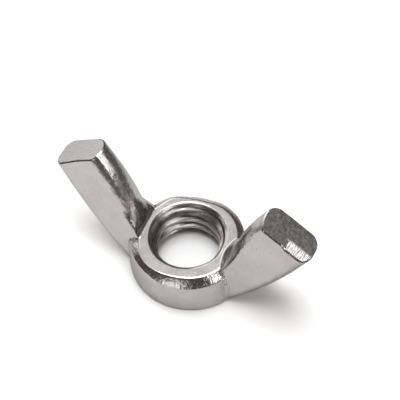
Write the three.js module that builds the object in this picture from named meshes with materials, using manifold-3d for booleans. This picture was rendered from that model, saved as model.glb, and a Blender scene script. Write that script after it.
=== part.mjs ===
// Wing nut for an M10 x 1.5 bolt, cold forged in one piece from stainless steel.
// A round threaded hub carries two wings, which fan out and up from its sides.
//
// Frame, in millimetres: the origin is the centre of the bearing face, +Z is the thread axis
// and points from the bearing face to the wing tips, and +X runs along the wings.
import * as THREE from "three";
import { mergeVertices } from "three/addons/utils/BufferGeometryUtils.js";
import Module from "manifold-3d";

// Thread: ISO metric coarse, right-handed.
const MAJOR_RADIUS = 5;
const PITCH = 1.5;
const FLANK_ANGLE = Math.PI / 6;
const THREAD_DEPTH = 0.54127 * PITCH;
const MINOR_RADIUS = MAJOR_RADIUS - THREAD_DEPTH;
const ROOT_FLAT = PITCH / 8;
const COUNTERSINK_RADIUS = 5.25;

// Hub: a slightly conical boss whose upper edge rolls over into the top face.
const HUB_HEIGHT = 6.4;
const HUB_BASE_RADIUS = 7.8;
const HUB_SHOULDER_RADIUS = 7.45;
const HUB_SHOULDER_HEIGHT = 4.4;
const HUB_TOP_RADIUS = 6.75;
const HUB_FOOT_ROUND = 0.35;

// Wing, in the XZ plane, as (x, z) points of the right-hand wing's two edges.
const INNER_RAMP_FOOT = [5.2, 5.8];
const INNER_RAMP_HEAD = [6.4, 7.15];
const INNER_STEEP_PULL = [7.75, 11.35];
const INNER_FLARE_PULL = [9.2, 14.35];
const INNER_TIP = [11.7, 18.35];
const OUTER_BURIED_FOOT = [6.3, 0];
const OUTER_FOOT = [7.9, 0];
const OUTER_BELLY_PULL = [12, 3.3];
const OUTER_RISE_PULL = [14.9, 8.2];
const OUTER_TIP = [18.15, 14.05];

// Wing thickness from the root in the hub to the sheared tip, and the rounding of its edges.
// Above the ramp the inner edge is rounded up to a narrow land, where the flash was trimmed.
const ROOT_HALF_THICKNESS = 3.3;
const TIP_HALF_THICKNESS = 2.15;
const INNER_ROUND_AT_RAMP = 0.8;
const INNER_LAND_HALF_WIDTH = 0.65;
const INNER_ROUND_FULL_FROM = 0.2;
const OUTER_EDGE_ROUND = 1.35;

// Facet counts.
const HUB_SEGMENTS = 96;
const THREAD_STEPS_PER_TURN = 48;
const WING_STATIONS = 20;
const EDGE_ROUND_STEPS = 5;
const CURVE_STEPS = 5;

const wasm = await Module();
wasm.setup();

// A closed three.js geometry as a manifold solid.
function solidFrom(geometry) {
  const bare = geometry.clone();
  bare.deleteAttribute("normal");
  bare.deleteAttribute("uv");
  const merged = mergeVertices(bare, 1e-5);
  return new wasm.Manifold(
    new wasm.Mesh({
      numProp: 3,
      vertProperties: merged.attributes.position.array,
      triVerts: new Uint32Array(merged.index.array),
    }),
  );
}

// A manifold solid as a three.js geometry.
function geometryFrom(solid) {
  const mesh = solid.getMesh();
  const geometry = new THREE.BufferGeometry();
  geometry.setAttribute("position", new THREE.BufferAttribute(mesh.vertProperties, 3));
  geometry.setIndex(new THREE.BufferAttribute(mesh.triVerts, 1));
  geometry.computeVertexNormals();
  return geometry;
}

// A solid through a row of convex rings, each turning right-handed about the way the row travels.
function loft(rings) {
  const count = rings[0].length;
  const last = (rings.length - 1) * count;
  const positions = rings.flat().flatMap((point) => point.toArray());
  const indices = [];
  for (let ring = 0; ring < rings.length - 1; ring++) {
    for (let i = 0; i < count; i++) {
      const here = ring * count + i;
      const beside = ring * count + ((i + 1) % count);
      indices.push(here, beside, beside + count, here, beside + count, here + count);
    }
  }
  for (let i = 1; i < count - 1; i++) {
    indices.push(0, i + 1, i);
    indices.push(last, last + i, last + i + 1);
  }
  const geometry = new THREE.BufferGeometry();
  geometry.setAttribute("position", new THREE.Float32BufferAttribute(positions, 3));
  geometry.setIndex(indices);
  return geometry;
}

// A profile of (radius, height) points turned about the Z axis.
function turned(profile) {
  const points = profile.map(([radius, height]) => new THREE.Vector2(radius, height));
  return new THREE.LatheGeometry(points, HUB_SEGMENTS).rotateX(Math.PI / 2);
}

// The hub as a solid boss, before it is drilled.
function hubBlank() {
  const foot = new THREE.QuadraticBezierCurve(
    new THREE.Vector2(HUB_BASE_RADIUS - HUB_FOOT_ROUND, 0),
    new THREE.Vector2(HUB_BASE_RADIUS, 0),
    new THREE.Vector2(HUB_BASE_RADIUS, HUB_FOOT_ROUND),
  );
  const shoulder = new THREE.QuadraticBezierCurve(
    new THREE.Vector2(HUB_SHOULDER_RADIUS, HUB_SHOULDER_HEIGHT),
    new THREE.Vector2(HUB_SHOULDER_RADIUS - 0.15, HUB_HEIGHT - 0.4),
    new THREE.Vector2(HUB_TOP_RADIUS, HUB_HEIGHT),
  );
  const curved = [foot, shoulder].flatMap((curve) => curve.getPoints(CURVE_STEPS));
  return solidFrom(turned([[0, 0], ...curved.map((p) => [p.x, p.y]), [0, HUB_HEIGHT]]));
}

// The drill: minor-diameter bore with a 90 degree countersink at each face.
function boreCutter() {
  const sink = COUNTERSINK_RADIUS - MINOR_RADIUS;
  const over = 1;
  return solidFrom(
    turned([
      [0, -over],
      [COUNTERSINK_RADIUS + over, -over],
      [MINOR_RADIUS, sink],
      [MINOR_RADIUS, HUB_HEIGHT - sink],
      [COUNTERSINK_RADIUS + over, HUB_HEIGHT + over],
      [0, HUB_HEIGHT + over],
    ]),
  );
}

// The tap: one helical ridge that cuts the thread groove from below the hub to above it.
function threadCutter() {
  const innerRadius = MINOR_RADIUS - 0.15;
  const rootHalf = ROOT_FLAT / 2;
  const mouthHalf = rootHalf + (MAJOR_RADIUS - innerRadius) * Math.tan(FLANK_ANGLE);
  const turns = HUB_HEIGHT / PITCH + 2;
  const steps = Math.round(turns * THREAD_STEPS_PER_TURN);
  const rings = [];
  for (let step = 0; step <= steps; step++) {
    const angle = (step / THREAD_STEPS_PER_TURN) * 2 * Math.PI;
    const height = (step / THREAD_STEPS_PER_TURN - 1) * PITCH;
    const at = (radius, lift) =>
      new THREE.Vector3(radius * Math.cos(angle), radius * Math.sin(angle), height + lift);
    rings.push([
      at(innerRadius, mouthHalf),
      at(MAJOR_RADIUS, rootHalf),
      at(MAJOR_RADIUS, -rootHalf),
      at(innerRadius, -mouthHalf),
    ]);
  }
  return solidFrom(loft(rings));
}

// A wing edge: a short straight run out of the hub, then a curve up to the tip.
function edgePath(start, bend, pullOne, pullTwo, tip) {
  const [a, b, c, d, e] = [start, bend, pullOne, pullTwo, tip].map((p) => new THREE.Vector2(...p));
  const path = new THREE.CurvePath();
  path.add(new THREE.LineCurve(a, b));
  path.add(new THREE.CubicBezierCurve(b, c, d, e));
  return path;
}

// A rounded rectangle as (across, through) points, with a radius for each side's two corners.
function roundedSection(width, halfThickness, innerRadius, outerRadius) {
  const corners = [
    [width - outerRadius, 1, outerRadius],
    [innerRadius, 1, innerRadius],
    [innerRadius, -1, innerRadius],
    [width - outerRadius, -1, outerRadius],
  ];
  return corners.flatMap(([across, side, radius], quarter) =>
    Array.from({ length: EDGE_ROUND_STEPS + 1 }, (_, step) => {
      const angle = ((quarter + step / EDGE_ROUND_STEPS) * Math.PI) / 2;
      const through = side * (halfThickness - radius);
      return [across + radius * Math.cos(angle), through + radius * Math.sin(angle)];
    }),
  );
}

// The right-hand wing: rounded sections that fan out between its inner and outer edges.
function wingBlank() {
  const inner = edgePath(
    INNER_RAMP_FOOT,
    INNER_RAMP_HEAD,
    INNER_STEEP_PULL,
    INNER_FLARE_PULL,
    INNER_TIP,
  );
  const outer = edgePath(
    OUTER_BURIED_FOOT,
    OUTER_FOOT,
    OUTER_BELLY_PULL,
    OUTER_RISE_PULL,
    OUTER_TIP,
  );
  const rings = [];
  for (let station = 0; station <= WING_STATIONS; station++) {
    const along = station / WING_STATIONS;
    const from = inner.getPoint(along);
    const to = outer.getPoint(along);
    const across = to.clone().sub(from);
    const width = across.length();
    across.normalize();
    const half = THREE.MathUtils.lerp(ROOT_HALF_THICKNESS, TIP_HALF_THICKNESS, along);
    const innerRound = THREE.MathUtils.lerp(
      INNER_ROUND_AT_RAMP,
      half - INNER_LAND_HALF_WIDTH,
      Math.min(along / INNER_ROUND_FULL_FROM, 1),
    );
    rings.push(
      roundedSection(width, half, innerRound, OUTER_EDGE_ROUND).map(([u, v]) =>
        new THREE.Vector3(from.x + u * across.x, v, from.y + u * across.y),
      ),
    );
  }
  return loft(rings);
}

function wingNut() {
  const rightWing = solidFrom(wingBlank());
  const leftWing = solidFrom(wingBlank().rotateZ(Math.PI));
  const forging = hubBlank().add(rightWing).add(leftWing);
  return geometryFrom(forging.subtract(boreCutter()).subtract(threadCutter()));
}

const stainlessSteel = new THREE.MeshStandardMaterial({
  name: "stainless_steel",
  color: 0xbeb8b6,
  roughness: 0.25,
  metalness: 1,
});

const nut = new THREE.Mesh(wingNut(), stainlessSteel);
nut.name = "wing_nut";

const group = new THREE.Group();
group.add(nut);

export default group;
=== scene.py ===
import math

import bpy
import numpy as np
from mathutils import Matrix, Vector


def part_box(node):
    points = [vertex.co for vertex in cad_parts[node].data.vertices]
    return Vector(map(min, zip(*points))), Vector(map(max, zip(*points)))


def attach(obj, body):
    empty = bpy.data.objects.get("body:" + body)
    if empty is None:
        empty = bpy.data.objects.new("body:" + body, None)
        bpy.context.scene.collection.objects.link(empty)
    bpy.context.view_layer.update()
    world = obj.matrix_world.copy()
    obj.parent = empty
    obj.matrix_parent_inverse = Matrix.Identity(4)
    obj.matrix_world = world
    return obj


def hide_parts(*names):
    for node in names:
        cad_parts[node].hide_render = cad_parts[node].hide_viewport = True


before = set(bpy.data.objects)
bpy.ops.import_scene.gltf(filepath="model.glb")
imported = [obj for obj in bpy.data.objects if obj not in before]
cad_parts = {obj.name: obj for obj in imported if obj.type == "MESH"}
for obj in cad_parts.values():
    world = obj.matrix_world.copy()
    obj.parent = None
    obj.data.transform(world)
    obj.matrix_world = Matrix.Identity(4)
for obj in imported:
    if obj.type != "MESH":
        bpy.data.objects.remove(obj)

# The looks of a forged wing nut: its fine shape, its polished, sheared and tapped surfaces, and
# the studio around it. Shape sizes are in millimetres, in the frame of the CAD model, and a
# formula's distances are negative inside the metal.

MILLIMETRES = 1000.0
BODY = "root"
CAD_NODE = "wing_nut"

# Thread and bore
MAJOR_RADIUS = 5.0
PITCH = 1.5
THREAD_DEPTH = 0.54127 * PITCH
MINOR_RADIUS = MAJOR_RADIUS - THREAD_DEPTH
THREAD_FLAT = PITCH / 8
THREAD_HALF_ANGLE = math.radians(30)
LEAD_IN_RADIUS = 5.25
LEAD_IN_DEPTH = 0.22
SINK_RADIUS = 4.9
SINK_DEPTH = 1.45

# Hub
HUB_HEIGHT = 6.4
HUB_SHIFT_Y = -0.18
SIDE_RADIUS = 7.5
SIDE_TAPER = 0.03
SIDE_STRETCH_X = 0.085

# The flat top's uneven rim: (waves in a turn, depth, phase), then (degrees, width, depth). The
# radius and the waves are the output of a least-squares fit, and the bulges were set one by one.
RIM_RADIUS = 6.37
RIM_WAVES = ((1, 0.29, 2.34), (2, 0.18, 0.17), (3, 0.01, -1.25), (4, 0.1, -2.72), (5, 0.05, -0.52))
RIM_BULGES = ((133, 14, 0.48), (90, 14, -0.22))

# The shoulder that slopes from the rim to the hub's side
SHOULDER_TILT = math.radians(41)
SHOULDER_TILT_SWING = math.radians(9)
SHOULDER_STEEPEST = math.radians(35)
SHOULDER_LENGTH = 1.3
SHOULDER_BULGE = 0.09
SHOULDER_BLEND = 0.2

# The crowned top, and the round edges at top and foot
TOP_FALL = 0.02
TOP_EDGE_ROUND = 0.07
FOOT_ROUND = 0.4

# Wings: edges run through (x, z) points with the slope dx/dz at each
INNER_FOOT_Z = 7.0
INNER_TIP = (11.5, 18.4)
OUTER_FOOT = (7.7, 0.0)
OUTER_FOOT_SLOPE = 1.0
OUTER_TIP = (18.2, 14.05)
OUTER_TIP_SLOPE = 0.55
TIP_TAPER_LENGTH = 15.4
LOWEST_TAPER_SHARE = -0.3
ROOT_HALF_THICKNESS = 3.08
ROOT_SHIFT_Y = -0.32
OUTER_ROUND = 1.6
BOW_FROM_Y = -0.1
RAMP_EDGE_ROUND = 0.15
FLASH_LAND_DEPTH = 0.05
TIP_CHAMFER = 0.11

# Where the wings change: heights at which the inner edges round off and the flash land fades, and
# distances from the outer edge at which the front face flares
FRONT_ROUND_SPAN = (5.8, 10.5)
BACK_ROUND_SPAN = (5.0, 7.4)
FLASH_LAND_FADE = (12.5, 17.0)
OUTER_FLARE_SPAN = (-5.0, 0.0)

# What differs between the +X wing and the -X wing, in that order
TIP_HALF_THICKNESS = (2.1, 1.98)
TIP_SHIFT_Y = (0.05, 0.33)
INNER_FOOT_X = (6.5, 6.05)
INNER_FOOT_SLOPE = (0.30, 0.24)
INNER_TIP_SLOPE = (0.65, 0.74)
FRONT_EDGE_ROUND = (0.3, 0.9)
BACK_ROUND_SHARE = (0.85, 1.25)
OUTER_FLARE = (0.0, 0.4)
BOW_DEPTH = (0.8, 0.7)
BOW_AT_FOOT = (0.2, -0.4)
RAMP_SLOPE = (1.1, 0.6)
RAMP_FOOT_X = (5.5, 5.69)
RAMP_FOOT_SLANT = (0.02, 0.063)
RAMP_FOOT_CURVE = (0.1, 0.0)
RAMP_BACK_ROUND = (0.25, 1.5)
RAMP_BLEND = (0.2, 0.24)

# The corner of the +X tip that the shear burnished
BURNISH_TILT = 0.24
BURNISH_FROM_Y = -0.6
BURNISH_SOFT_Y = 0.15
BURNISH_FROM_X = (14.5, 15.1)

# Blends and the unevenness of the forging
WING_BLEND_AT_SIDE = 0.15
WING_BLEND_AT_TOP = 0.1
WING_BLEND_SPAN = (5.3, 6.2)
WAVE_COUNT = 10
WAVELENGTH_SPREAD = (0.7, 1.4)
DENT_SEED = 3
DENT_DEPTH = 0.010
DENT_WAVELENGTH = 3.2
WRINKLE_SEED = 5
WRINKLE_DEPTH = 0.07
WRINKLE_WAVELENGTH = 0.6
WRINKLE_REACH = 0.4
WRINKLE_RISE = (2.5, 5.0)
WRINKLE_FADE = (5.9, 6.3)

# Mesh
CELL = 0.145
MARGIN = 0.53
SLABS = 12
BISECTIONS = 10
GRADIENT_STEP = 1e-3
CORNER_DAMPING = 0.05
SHARP_ANGLE = math.radians(34)
SURFACE_REACH = 0.03

# Camera
CAMERA_AZIMUTH = math.radians(31.3)
CAMERA_ELEVATION = math.radians(55.4)
CAMERA_ROLL = math.radians(-4.9)
CAMERA_DISTANCE = 211.8
CAMERA_AIM = (-3.36, 9.4, 0.0)
CAMERA_LENS = 138.1
CAMERA_CLIP = (0.01, 10)

# Steel: the part of a noise's range that is used, then colours, roughnesses, noise scales in
# cycles per millimetre along each axis, and bump depths
NOISE_LOW = 0.3
NOISE_HIGH = 0.7
EDGE_TINT = (0.66, 0.65, 0.65)
POLISHED_COLOURS = ((0.56, 0.535, 0.535), (0.51, 0.485, 0.48))
STAIN_SCALE = (0.35, 0.35, 0.35)
HAZE_SCALE = (1.1, 1.1, 1.1)
HAZE_ROUGHNESS = (0.13, 0.24)
SCRATCH_SCALE = (9.0, 9.0, 0.7)
SCRATCH_TURN = (0.4, 0.5, 0.2)
SCRATCH_RANGE = (0.58, 0.72)
SCRATCH_ROUGHNESS = (0.0, 0.12)
SCRATCH_DEPTH = 0.006
STREAK_SCALE = (3.6, 3.6, 0.5)
STREAK_DEPTH = 0.05
STREAK_UPWARD_FADE = (0.75, 0.95)
SOFT_DENT_SCALE = (0.8, 0.8, 0.8)
SOFT_DENT_DEPTH = 0.03
GRAIN_SCALE = (7.0, 7.0, 7.0)
GRAIN_DEPTH = 0.006

SHEARED_COLOURS = ((0.53, 0.505, 0.505), (0.48, 0.455, 0.45))
SHEAR_LINE_SCALE = (0.9, 4.0, 0.9)
SHEAR_LINE_ROUGHNESS = (0.24, 0.34)
SHEAR_LINE_DEPTH = 0.01

TORN_COLOURS = ((0.18, 0.17, 0.165), (0.60, 0.58, 0.57))
FROST_SCALE = (2.2, 2.2, 2.2)
FROST_COARSENESS = 0.95
FROST_RANGE = (0.32, 0.68)
TORN_GRAIN_SCALE = (8.0, 8.0, 8.0)
TORN_GRAIN_DEPTH = 0.03
BURNISHED_COLOUR = (0.58, 0.56, 0.545)
TORN_ROUGHNESS = (0.34, 0.2)
STRIATION_SCALE = (4.5, 0.25, 4.5)
STRIATION_DEPTH = 0.05

TAPPED_COLOURS = ((0.50, 0.475, 0.465), (0.30, 0.27, 0.26))
OIL_SCALE = (0.7, 0.7, 1.6)
TOOL_RING_SCALE = (0.25, 0.25, 6.0)
TOOL_RING_ROUGHNESS = (0.2, 0.36)
TOOL_RING_DEPTH = 0.05

# Studio, in degrees: panels by (azimuth, half width), (low, high elevation), soft edge, brightness
DARK_STUDIO = (0.11, 0.092, 0.085)
PANELS = {
    "back_top": ((211, 60), (52, 72), 12, 0.88),
    "overhead": ((0, 180), (76, 90), 6, 9.0),
    "right_top": ((88, 18), (40, 66), 6, 2.0),
    "left_back": ((241, 22), (-10, 30), 10, 1.8),
    "left_top": ((235, 22), (34, 44), 6, 2.2),
    "right_back": ((122, 14), (-10, 2), 8, 0.28),
    "window_front": ((3, 8), (4, 20), 6, 1.9),
    "window_right": ((73, 3), (8, 28), 4, 5.5),
    "window_side": ((92, 5), (-12, 12), 4, 3.5),
}

# Key light
KEY_ENERGY = 0.6
KEY_WIDTH = math.radians(35)
KEY_AZIMUTH = math.radians(240)
KEY_ELEVATION = math.radians(60)

# Floor, in metres
FLOOR_SIZE = 3.0
FLOOR_FADE_CENTRE = (-0.018, -0.011, 0.0)
FLOOR_FADE_FROM = 0.032
FLOOR_FADE_TO = 0.056
FLOOR_COLOUR = (0.90, 0.90, 0.90)
FLOOR_ROUGHNESS = 0.8
FLOOR_SPECULAR = 0.2
# Painted light: the floor as the steel reflects it is a painted pool of light near the nut, which goes
# over to painted shade between the two fade distances above
FLOOR_PAINTED_POOL_IN_STEEL = (0.70, 0.695, 0.70)
FLOOR_PAINTED_SHADE_IN_STEEL = (0.09, 0.08, 0.075)


# ---------------------------------------------------------------- distance formulas

def smooth_step(value, low, high):
    """A share that goes smoothly from 0 to 1 as value goes from low to high."""
    t = np.clip((value - low) / (high - low), 0, 1)
    return t * t * (3 - 2 * t)


def blend_union(a, b, reach):
    """The part inside a or b, with the corner between them filled over reach."""
    t = np.clip(0.5 + 0.5 * (b - a) / reach, 0, 1)
    return b + (a - b) * t - reach * t * (1 - t)


def blend_cut(a, b, reach):
    """The part inside both a and b, with the edge between them softened over reach."""
    return -blend_union(-a, -b, reach)


def rounded_cut(a, b, radius):
    """The part inside both a and b, with the edge between them rounded."""
    outside = np.hypot(np.maximum(a + radius, 0), np.maximum(b + radius, 0))
    return np.minimum(np.maximum(a, b), -radius) + outside


def chamfered_cut(a, b, width):
    """The part inside both a and b, with the edge between them cut off flat."""
    return np.maximum(np.maximum(a, b), (a + b) / math.sqrt(2) + width)


def sine_noise(seed, wavelength):
    """A smooth random field: a sum of sine waves in seeded directions."""
    random = np.random.default_rng(seed)
    directions = random.normal(size=(WAVE_COUNT, 3))
    directions /= np.linalg.norm(directions, axis=1)[:, None]
    lengths = wavelength * random.uniform(*WAVELENGTH_SPREAD, WAVE_COUNT)
    waves = directions * 2 * math.pi / lengths[:, None]
    phases = random.uniform(0, 2 * math.pi, WAVE_COUNT)

    def field(x, y, z):
        total = sum(np.sin(wave[0] * x + wave[1] * y + wave[2] * z + phase)
                    for wave, phase in zip(waves, phases))
        return total / math.sqrt(WAVE_COUNT)

    return field


dents = sine_noise(DENT_SEED, DENT_WAVELENGTH)
wrinkles = sine_noise(WRINKLE_SEED, WRINKLE_WAVELENGTH)


def edge_line(z, foot, tip, foot_slope, tip_slope):
    """x and dx/dz of a wing's edge at height z: a cubic from foot to tip, straight beyond them."""
    rise = tip[1] - foot[1]
    t = np.clip((z - foot[1]) / rise, 0, 1)
    beyond = z - foot[1] - t * rise
    x = ((1 + 2 * t) * (1 - t) ** 2 * foot[0] + t * (1 - t) ** 2 * rise * foot_slope
         + t * t * (3 - 2 * t) * tip[0] - t * t * (1 - t) * rise * tip_slope)
    slope = (6 * t * (t - 1) * (foot[0] - tip[0]) / rise + (1 - 4 * t + 3 * t * t) * foot_slope
             + (3 * t * t - 2 * t) * tip_slope)
    return x + beyond * slope, slope


def of_wing(x, values):
    """The value for the wing that x is on."""
    return np.where(x > 0, *values)


def wing_edges(x, z):
    """Distances past a wing's inner edge and past its outer edge, seen along Y."""
    along = np.abs(x)
    inner_foot = (of_wing(x, INNER_FOOT_X), INNER_FOOT_Z)
    inner_slopes = of_wing(x, INNER_FOOT_SLOPE), of_wing(x, INNER_TIP_SLOPE)
    inner_x, slope = edge_line(z, inner_foot, INNER_TIP, *inner_slopes)
    inner = (inner_x - along) / np.hypot(1, slope)
    outer_x, slope = edge_line(z, OUTER_FOOT, OUTER_TIP, OUTER_FOOT_SLOPE, OUTER_TIP_SLOPE)
    outer = (along - outer_x) / np.hypot(1, slope)
    return inner, outer


def wing_ramp(x, y, z):
    """Distance to the ramp that rises from the hub's top to a wing."""
    foot = of_wing(x, RAMP_FOOT_X) + of_wing(x, RAMP_FOOT_SLANT) * y + of_wing(x, RAMP_FOOT_CURVE) * y * y
    slope = of_wing(x, RAMP_SLOPE)
    return (z - HUB_HEIGHT - (np.abs(x) - foot) * slope) / np.hypot(1, slope)


def tip_plane(x, z):
    """Distance to the plane in which a wing's tip was sheared off."""
    edge = np.subtract(OUTER_TIP, INNER_TIP) / math.dist(OUTER_TIP, INNER_TIP)
    return (np.abs(x) - INNER_TIP[0]) * -edge[1] + (z - INNER_TIP[1]) * edge[0]


def wing_faces(x, y, outer, tip):
    """Distances to a wing's back and front faces, then its half thickness and y from its middle."""
    share = np.clip(1 + tip / TIP_TAPER_LENGTH, LOWEST_TAPER_SHARE, 1)
    half = ROOT_HALF_THICKNESS + (of_wing(x, TIP_HALF_THICKNESS) - ROOT_HALF_THICKNESS) * share
    centred_y = y - ROOT_SHIFT_Y - (of_wing(x, TIP_SHIFT_Y) - ROOT_SHIFT_Y) * share
    flare = of_wing(x, OUTER_FLARE) * smooth_step(outer, *OUTER_FLARE_SPAN) * share
    return centred_y - half, -centred_y - half - flare, half, centred_y


def blade(x, z, inner, faces):
    """The wing's blade at its inner edge, which bows in and rounds off as it rises from the hub."""
    back, front, half, centred_y = faces
    front_share = smooth_step(z, *FRONT_ROUND_SPAN)
    back_share = smooth_step(z, *BACK_ROUND_SPAN)
    bow_depth = of_wing(x, BOW_AT_FOOT) + (of_wing(x, BOW_DEPTH) - of_wing(x, BOW_AT_FOOT)) * front_share
    bow = bow_depth * (np.maximum(BOW_FROM_Y - centred_y, 0) / half) ** 2
    front_round = RAMP_EDGE_ROUND + (of_wing(x, FRONT_EDGE_ROUND) - RAMP_EDGE_ROUND) * front_share
    back_round = RAMP_EDGE_ROUND + (of_wing(x, BACK_ROUND_SHARE) * half - RAMP_EDGE_ROUND) * back_share
    return np.maximum(rounded_cut(inner, back, back_round), rounded_cut(inner + bow, front, front_round))


def wing(x, y, z):
    """Distances to either wing, endless at its tip, then to its flat faces and its tip plane."""
    inner, outer = wing_edges(x, z)
    ramp = wing_ramp(x, y, z)
    tip = tip_plane(x, z)
    faces = wing_faces(x, y, outer, tip)
    back, front = faces[:2]
    face = np.maximum(back, front)
    ramp_body = np.maximum(rounded_cut(ramp, back, of_wing(x, RAMP_BACK_ROUND)),
                           rounded_cut(ramp, front, RAMP_EDGE_ROUND))
    inner_side = blend_union(blade(x, z, inner, faces), ramp_body, of_wing(x, RAMP_BLEND))
    outer_side = rounded_cut(outer, face, OUTER_ROUND)
    flash_share = smooth_step(z, *FRONT_ROUND_SPAN) * (1 - smooth_step(z, *FLASH_LAND_FADE))
    land = blend_union(inner, ramp, of_wing(x, RAMP_BLEND)) + FLASH_LAND_DEPTH * flash_share
    return np.maximum(np.maximum(inner_side, outer_side), land), face, tip


def top_rim(angle):
    """The flat top's outer radius at an angle round the hub."""
    waves = RIM_RADIUS + sum(depth * np.sin(count * angle + phase) for count, depth, phase in RIM_WAVES)
    return waves + sum(depth * np.exp(-((np.degrees(angle) - centre) / width) ** 2)
                       for centre, width, depth in RIM_BULGES)


def hub(x, y, z):
    """Distances to the hub's side, with its sloping shoulder, and to its slightly crowned top."""
    centred_y = y - HUB_SHIFT_Y
    angle = np.arctan2(centred_y, x)
    tilt = SHOULDER_TILT + SHOULDER_TILT_SWING * np.cos(angle - SHOULDER_STEEPEST) ** 2
    radius = np.hypot(x, centred_y)
    outward, down = radius - top_rim(angle), HUB_HEIGHT - z
    along = np.clip(outward * np.sin(tilt) + down * np.cos(tilt), 0, SHOULDER_LENGTH)
    shoulder = (outward * np.cos(tilt) - down * np.sin(tilt)
                + SHOULDER_BULGE * along * (along - SHOULDER_LENGTH))
    low_share = np.clip(down / HUB_HEIGHT, 0, 1)
    stretch = 1 + SIDE_STRETCH_X * np.sqrt(low_share)
    side = np.hypot(x / stretch, centred_y) - SIDE_RADIUS + SIDE_TAPER * low_share
    top = TOP_FALL * np.maximum(radius - LEAD_IN_RADIUS, 0) - down
    return blend_cut(side, shoulder, SHOULDER_BLEND), top


def cone(radius, depth, rim_radius, floor_radius, floor_depth):
    """Distance to a cone that narrows from rim_radius at depth 0 to floor_radius at floor_depth."""
    slope = (rim_radius - floor_radius) / floor_depth
    return (radius - rim_radius + depth * slope) / math.hypot(1, slope)


def thread_groove(x, y, z, radius):
    """Distance to the thread's groove: a right-hand helix with flat-bottomed, 60 degree flanks."""
    turns = z / PITCH - np.arctan2(y, x) / (2 * math.pi)
    along = np.abs(turns - np.floor(turns) - 0.5) * PITCH
    widening = (MAJOR_RADIUS - radius) * math.tan(THREAD_HALF_ANGLE)
    flank = (along - THREAD_FLAT / 2 - widening) * math.cos(THREAD_HALF_ANGLE)
    return np.maximum(radius - MAJOR_RADIUS, flank)


def bore(x, y, z):
    """Distance to the tapped hole with its two-stage countersinks."""
    radius = np.hypot(x, y)
    hole = np.minimum(radius - MINOR_RADIUS, thread_groove(x, y, z, radius))
    for depth in (np.maximum(HUB_HEIGHT - z, 0), np.maximum(z, 0)):
        lead_in = cone(radius, depth, LEAD_IN_RADIUS, SINK_RADIUS, LEAD_IN_DEPTH)
        sink = cone(radius, depth - LEAD_IN_DEPTH, SINK_RADIUS, MINOR_RADIUS, SINK_DEPTH)
        hole = np.minimum(hole, np.minimum(lead_in, sink))
    return hole


def sheared_tip(x, y, tip):
    """The tip plane, bent down where the shear burnished one corner of the +X wing."""
    return tip + BURNISH_TILT * np.maximum(BURNISH_FROM_Y - y, 0) * smooth_step(x, *BURNISH_FROM_X)


def wing_nut(x, y, z):
    """Distance to the whole nut: hub and wings blended, dented, sheared at the tips and bored."""
    side, top = hub(x, y, z)
    wings, face, tip = wing(x, y, z)
    high_share = smooth_step(z, *WING_BLEND_SPAN)
    reach = WING_BLEND_AT_SIDE + (WING_BLEND_AT_TOP - WING_BLEND_AT_SIDE) * high_share
    solid = blend_union(rounded_cut(side, top, TOP_EDGE_ROUND), wings, reach)
    crease = (np.exp(-(face ** 2 + side ** 2) / WRINKLE_REACH ** 2)
              * smooth_step(z, *WRINKLE_RISE) * (1 - smooth_step(z, *WRINKLE_FADE)))
    solid = solid + DENT_DEPTH * dents(x, y, z) + WRINKLE_DEPTH * crease * wrinkles(x, y, z)
    solid = chamfered_cut(solid, sheared_tip(x, y, tip), TIP_CHAMFER)
    solid = rounded_cut(solid, -z, FOOT_ROUND)
    return np.maximum(solid, -bore(x, y, z))


# ---------------------------------------------------------------- mesh from the formulas

def gradient(surface, points):
    """The formula's slope at each point, which points straight out of the surface."""
    steps = GRADIENT_STEP * np.eye(3)
    slopes = [surface(*(points + step).T) - surface(*(points - step).T) for step in steps]
    return np.stack(slopes, 1) / (2 * GRADIENT_STEP)


def crossings(surface, values, low, axis):
    """The surface's crossings with the grid lines along one axis: cell indices, points, orientation."""
    inside = values < 0
    ahead = np.take(inside, np.arange(1, values.shape[axis]), axis)
    behind = np.take(inside, np.arange(values.shape[axis] - 1), axis)
    cells = np.argwhere(ahead != behind)
    start_inside = behind[tuple(cells.T)]
    starts = low + CELL * cells
    near, painted_shade_share = np.zeros(len(cells)), np.ones(len(cells))
    for _ in range(BISECTIONS):
        middle = (near + painted_shade_share) / 2
        points = starts.copy()
        points[:, axis] += CELL * middle
        same = (surface(*points.T) < 0) == start_inside
        near, painted_shade_share = np.where(same, middle, near), np.where(same, painted_shade_share, middle)
    points = starts.copy()
    points[:, axis] += CELL * (near + painted_shade_share) / 2
    return cells, points, start_inside


def corner_points(cell_ids, points, normals):
    """One vertex for each cell: the point that best fits the planes of the cell's crossings."""
    ids, where = np.unique(cell_ids, return_inverse=True)
    counts = np.bincount(where)[:, None]
    centres = np.stack([np.bincount(where, points[:, i]) for i in range(3)], 1) / counts
    offsets = ((points - centres[where]) * normals).sum(1)
    right = np.stack([np.bincount(where, normals[:, i] * offsets) for i in range(3)], 1)
    matrix = np.stack([[np.bincount(where, normals[:, i] * normals[:, j]) for j in range(3)]
                       for i in range(3)]).transpose(2, 0, 1)
    matrix = matrix + CORNER_DAMPING * np.eye(3)
    shifts = np.linalg.solve(matrix, right[:, :, None])[:, :, 0]
    return ids, centres + np.clip(shifts, -CELL, CELL)


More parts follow.
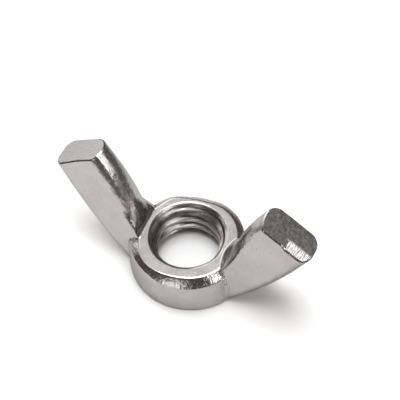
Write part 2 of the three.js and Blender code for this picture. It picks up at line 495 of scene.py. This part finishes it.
def contour(surface, low, high):
    """Dual contouring, which keeps sharp edges: vertices and outward quads of the surface."""
    counts = np.ceil((high - low) / CELL).astype(int) + 1
    xs, ys, zs = (low[i] + CELL * np.arange(counts[i]) for i in range(3))
    values = np.concatenate([surface(slab[:, None, None], ys[:, None], zs)
                             for slab in np.array_split(xs, SLABS)])
    cell_ids, points, normals, quads = [], [], [], []
    for axis in range(3):
        cells, crossing, start_inside = crossings(surface, values, low, axis)
        normal = gradient(surface, crossing)
        normal /= np.linalg.norm(normal, axis=1)[:, None]
        second, third = (axis + 1) % 3, (axis + 2) % 3
        ring = []
        for back_second, back_third in ((1, 1), (0, 1), (0, 0), (1, 0)):
            around = cells.copy()
            around[:, second] -= back_second
            around[:, third] -= back_third
            ring.append(np.ravel_multi_index(around.T, counts))
            cell_ids.append(ring[-1])
            points.append(crossing)
            normals.append(normal)
        quad = np.stack(ring, 1)
        quads.append(np.where(start_inside[:, None], quad, quad[:, ::-1]))
    ids, vertices = corner_points(*map(np.concatenate, (cell_ids, points, normals)))
    return vertices, np.searchsorted(ids, np.concatenate(quads))


# ---------------------------------------------------------------- materials

class Nodes:
    """A node tree, with short calls for the nodes used here. A value is a socket or a constant."""

    def __init__(self, tree):
        self.tree = tree

    def node(self, kind, **settings):
        made = self.tree.nodes.new(kind)
        for name, value in settings.items():
            setattr(made, name, value)
        return made

    def feed(self, value, socket):
        if isinstance(value, bpy.types.NodeSocket):
            self.tree.links.new(value, socket)
        else:
            socket.default_value = value

    def math(self, operation, *values):
        made = self.node("ShaderNodeMath", operation=operation)
        for value, socket in zip(values, made.inputs):
            self.feed(value, socket)
        return made.outputs[0]

    def ramp(self, source, low, high, start=NOISE_LOW, end=NOISE_HIGH):
        """A number that goes from low to high as source goes from start to end."""
        made = self.node("ShaderNodeMapRange", interpolation_type="SMOOTHSTEP")
        for name, value in (("From Min", start), ("From Max", end), ("To Min", low), ("To Max", high)):
            made.inputs[name].default_value = value
        self.feed(source, made.inputs["Value"])
        return made.outputs["Result"]

    def axes(self, vector):
        """A vector's x, y and z."""
        made = self.node("ShaderNodeSeparateXYZ")
        self.feed(vector, made.inputs[0])
        return made.outputs

    def mix(self, share, first, second):
        """A colour that goes from first to second as share goes from 0 to 1."""
        made = self.node("ShaderNodeMix", data_type="RGBA")
        self.feed(share, made.inputs["Factor"])
        for name, colour in (("A", first), ("B", second)):
            opaque = (*colour, 1) if isinstance(colour, tuple) else colour
            self.feed(opaque, made.inputs[name])
        return made.outputs["Result"]


class Shader(Nodes):
    """A material's nodes, round its Principled shader."""

    def __init__(self, material):
        material.use_nodes = True
        super().__init__(material.node_tree)
        self.principled = self.tree.nodes["Principled BSDF"]
        self.object_coordinates = self.node("ShaderNodeTexCoord").outputs["Object"]

    def coordinates(self, scale, rotation=(0, 0, 0)):
        """Object coordinates in millimetres, stretched by scale along each axis."""
        mapping = self.node("ShaderNodeMapping")
        mapping.inputs["Scale"].default_value = [MILLIMETRES * s for s in scale]
        mapping.inputs["Rotation"].default_value = rotation
        self.feed(self.object_coordinates, mapping.inputs["Vector"])
        return mapping.outputs["Vector"]

    def noise(self, scale, detail, rotation=(0, 0, 0), coarseness=0.5):
        """Noise of that many octaves, at scale cycles per millimetre along each axis."""
        made = self.node("ShaderNodeTexNoise")
        made.inputs["Scale"].default_value = 1.0
        made.inputs["Detail"].default_value = detail
        made.inputs["Roughness"].default_value = coarseness
        self.feed(self.coordinates(scale, rotation), made.inputs["Vector"])
        return made.outputs["Fac"]

    def bump(self, height, depth, under=None):
        """A bump of that depth in millimetres, on top of another one."""
        made = self.node("ShaderNodeBump")
        made.inputs["Strength"].default_value = 1.0
        made.inputs["Distance"].default_value = depth / MILLIMETRES
        self.feed(height, made.inputs["Height"])
        if under is not None:
            self.feed(under, made.inputs["Normal"])
        return made.outputs["Normal"]

    def finish(self, **inputs):
        """Feed the Principled shader's inputs, named with underscores for spaces."""
        for name, value in inputs.items():
            self.feed(value, self.principled.inputs[name.replace("_", " ")])


def steel(name):
    """Bare steel, whose reflection darkens where it is seen edge on."""
    material = bpy.data.materials.new(name)
    shader = Shader(material)
    shader.finish(Metallic=1.0, Specular_Tint=(*EDGE_TINT, 1))
    return material, shader


def polished_steel():
    """Tumbled and polished forging: soft dents, grinding streaks, a fine grain and a few scratches."""
    material, shader = steel("polished_steel")
    stain = shader.noise(STAIN_SCALE, detail=3)
    colour = shader.mix(shader.ramp(stain, 0, 1), *POLISHED_COLOURS)
    haze = shader.noise(HAZE_SCALE, detail=5)
    scratch = shader.noise(SCRATCH_SCALE, detail=2, rotation=SCRATCH_TURN)
    roughness = shader.math("ADD", shader.ramp(haze, *HAZE_ROUGHNESS),
                            shader.ramp(scratch, *SCRATCH_ROUGHNESS, *SCRATCH_RANGE))
    upward = shader.axes(shader.node("ShaderNodeNewGeometry").outputs["Normal"])["Z"]
    streaks = shader.math("MULTIPLY", shader.noise(STREAK_SCALE, detail=2),
                          shader.ramp(upward, 1, 0, *STREAK_UPWARD_FADE))
    dented = shader.bump(shader.noise(SOFT_DENT_SCALE, detail=1), SOFT_DENT_DEPTH)
    streaked = shader.bump(streaks, STREAK_DEPTH, dented)
    grained = shader.bump(shader.noise(GRAIN_SCALE, detail=3), GRAIN_DEPTH, streaked)
    scratched = shader.bump(scratch, SCRATCH_DEPTH, grained)
    shader.finish(Base_Color=colour, Roughness=roughness, Normal=scratched)
    return material


def sheared_steel():
    """The -X wing's tip, cut cleanly: faint lines along the cut."""
    material, shader = steel("sheared_steel")
    lines = shader.noise(SHEAR_LINE_SCALE, detail=3)
    colour = shader.mix(shader.ramp(lines, 0, 1), *SHEARED_COLOURS)
    shader.finish(Base_Color=colour, Roughness=shader.ramp(lines, *SHEAR_LINE_ROUGHNESS),
                  Normal=shader.bump(lines, SHEAR_LINE_DEPTH))
    return material


def torn_steel():
    """The +X wing's tip: a frosty fracture, with a bright burnished patch where the cut began."""
    material, shader = steel("torn_steel")
    x, y, _ = shader.axes(shader.coordinates((1, 1, 1)))
    burnished = shader.math("MULTIPLY", shader.ramp(x, 0, 1, *BURNISH_FROM_X),
                            shader.ramp(y, 1, 0, BURNISH_FROM_Y - BURNISH_SOFT_Y, BURNISH_FROM_Y))
    frost = shader.noise(FROST_SCALE, detail=4, coarseness=FROST_COARSENESS)
    dull = shader.mix(shader.ramp(frost, 0, 1, *FROST_RANGE), *TORN_COLOURS)
    unburnished = shader.ramp(burnished, 1, 0)
    grain = shader.math("MULTIPLY", shader.noise(TORN_GRAIN_SCALE, detail=2), unburnished)
    grained = shader.bump(grain, TORN_GRAIN_DEPTH)
    lined = shader.bump(shader.noise(STRIATION_SCALE, detail=1), STRIATION_DEPTH, grained)
    shader.finish(Base_Color=shader.mix(burnished, dull, BURNISHED_COLOUR),
                  Roughness=shader.ramp(burnished, *TORN_ROUGHNESS, 0, 1), Normal=lined)
    return material


def tapped_steel():
    """Countersinks and thread: tool rings round the bore, and a trace of dark cutting oil."""
    material, shader = steel("tapped_steel")
    oil = shader.noise(OIL_SCALE, detail=4)
    colour = shader.mix(shader.ramp(oil, 0, 1), *TAPPED_COLOURS)
    rings = shader.noise(TOOL_RING_SCALE, detail=3)
    shader.finish(Base_Color=colour, Roughness=shader.ramp(rings, *TOOL_RING_ROUGHNESS),
                  Normal=shader.bump(rings, TOOL_RING_DEPTH))
    return material


# ---------------------------------------------------------------- the piece

STEELS = (polished_steel, sheared_steel, torn_steel, tapped_steel)
POLISHED, SHEARED, TORN, TAPPED = range(len(STEELS))


def surface_kinds(centres):
    """Which material each face has, by the formula whose surface it lies on."""
    x, y, z = centres.T
    at_tip = sheared_tip(x, y, tip_plane(x, z)) > -SURFACE_REACH
    kinds = np.where(at_tip, of_wing(x, (TORN, SHEARED)), POLISHED)
    kinds[np.abs(bore(x, y, z)) < SURFACE_REACH] = TAPPED
    return kinds


def build_wing_nut():
    """The one visible piece, which stands for the CAD model's solid."""
    low, high = (np.array(corner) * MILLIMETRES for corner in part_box(CAD_NODE))
    vertices, quads = contour(wing_nut, low - MARGIN, high + MARGIN)
    vertices = np.clip(vertices, low, high)
    mesh = bpy.data.meshes.new("forged_wing_nut")
    mesh.from_pydata((vertices / MILLIMETRES).tolist(), [], quads.tolist())
    for make_steel in STEELS:
        mesh.materials.append(make_steel())
    mesh.polygons.foreach_set("material_index", surface_kinds(vertices[quads].mean(1)))
    mesh.shade_smooth()
    mesh.set_sharp_from_angle(angle=SHARP_ANGLE)
    mesh.validate()
    piece = bpy.data.objects.new("forged_wing_nut", mesh)
    bpy.context.scene.collection.objects.link(piece)
    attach(piece, BODY)
    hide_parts(CAD_NODE)


# ---------------------------------------------------------------- studio

def direction(azimuth, elevation):
    """Unit vector from the nut: azimuth 0 is -Y and 90 is +X, in radians."""
    return Vector((math.sin(azimuth) * math.cos(elevation), -math.cos(azimuth) * math.cos(elevation),
                   math.sin(elevation)))


def build_floor():
    """A white sheet. In the steel's reflections its colour is painted: a painted pool of light round the
    nut that darkens into painted shade with distance, as under a small softbox.
    """
    half = FLOOR_SIZE / 2
    mesh = bpy.data.meshes.new("floor")
    corners = [(-half, -half, 0), (half, -half, 0), (half, half, 0), (-half, half, 0)]
    mesh.from_pydata(corners, [], [range(len(corners))])
    material = bpy.data.materials.new("white_sheet")
    shader = Shader(material)
    distance = shader.node("ShaderNodeVectorMath", operation="DISTANCE")
    shader.feed(shader.object_coordinates, distance.inputs[0])
    shader.feed(FLOOR_FADE_CENTRE, distance.inputs[1])
    # Painted light and shade: the share of painted shade grows with distance from the nut, and only the
    # steel's reflections see it
    painted_shade_share = shader.ramp(distance.outputs["Value"], 0, 1, FLOOR_FADE_FROM, FLOOR_FADE_TO)
    painted_light_pool = shader.mix(painted_shade_share, FLOOR_PAINTED_POOL_IN_STEEL, FLOOR_PAINTED_SHADE_IN_STEEL)
    in_steel = shader.node("ShaderNodeLightPath").outputs["Is Glossy Ray"]
    shader.finish(Base_Color=shader.mix(in_steel, FLOOR_COLOUR, painted_light_pool),
                  Roughness=FLOOR_ROUGHNESS, Specular_IOR_Level=FLOOR_SPECULAR)
    mesh.materials.append(material)
    floor = bpy.data.objects.new("floor", mesh)
    bpy.context.scene.collection.objects.link(floor)


def build_world():
    """A dark studio by direction, with soft-edged bright panels."""
    world = bpy.data.worlds.new("studio")
    bpy.context.scene.world = world
    world.use_nodes = True
    nodes = Nodes(world.node_tree)

    def inside(angle, centre, half_width, softness):
        off_centre = nodes.math("ABSOLUTE", nodes.math("SUBTRACT", angle, centre))
        return nodes.ramp(off_centre, 0, 1, half_width + softness, half_width)

    x, y, z = nodes.axes(nodes.node("ShaderNodeTexCoord").outputs["Generated"])
    elevation = nodes.math("DEGREES", nodes.math("ARCSINE", z))
    azimuth = nodes.math("DEGREES", nodes.math("ARCTAN2", x, nodes.math("MULTIPLY", y, -1)))
    colour = DARK_STUDIO
    for (centre, half_width), (low, high), softness, brightness in PANELS.values():
        turned = nodes.math("WRAP", azimuth, centre + 180, centre - 180)
        share = nodes.math("MULTIPLY", inside(turned, centre, half_width, softness),
                           inside(elevation, (low + high) / 2, (high - low) / 2, softness))
        colour = nodes.mix(share, colour, (brightness, brightness, brightness))
    nodes.feed(colour, nodes.tree.nodes["Background"].inputs["Color"])


def build_key_light():
    """A broad light from behind on the left. It casts the soft shadow and isn't seen in the steel."""
    sun = bpy.data.lights.new("key", "SUN")
    sun.energy = KEY_ENERGY
    sun.angle = KEY_WIDTH
    key = bpy.data.objects.new("key", sun)
    key.rotation_mode = "QUATERNION"
    key.rotation_quaternion = direction(KEY_AZIMUTH, KEY_ELEVATION).to_track_quat("Z", "Y")
    key.visible_glossy = False
    bpy.context.scene.collection.objects.link(key)


def build_camera():
    """A long lens that looks down at the nut, rolled a little."""
    backward = direction(CAMERA_AZIMUTH, CAMERA_ELEVATION)
    level_right = Vector((math.cos(CAMERA_AZIMUTH), math.sin(CAMERA_AZIMUTH), 0))
    turn = Matrix.Rotation(CAMERA_ROLL, 3, backward)
    right = turn @ level_right
    up = backward.cross(right)
    camera = bpy.data.objects.new("camera", bpy.data.cameras.new("camera"))
    camera.data.lens = CAMERA_LENS
    camera.data.clip_start, camera.data.clip_end = CAMERA_CLIP
    place = (Vector(CAMERA_AIM) + CAMERA_DISTANCE * backward) / MILLIMETRES
    camera.matrix_world = Matrix.Translation(place) @ Matrix((right, up, backward)).transposed().to_4x4()
    bpy.context.scene.collection.objects.link(camera)
    bpy.context.scene.camera = camera


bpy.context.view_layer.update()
build_camera()
build_wing_nut()
build_floor()
build_world()
build_key_light()
bpy.context.scene.view_settings.view_transform = "Standard"
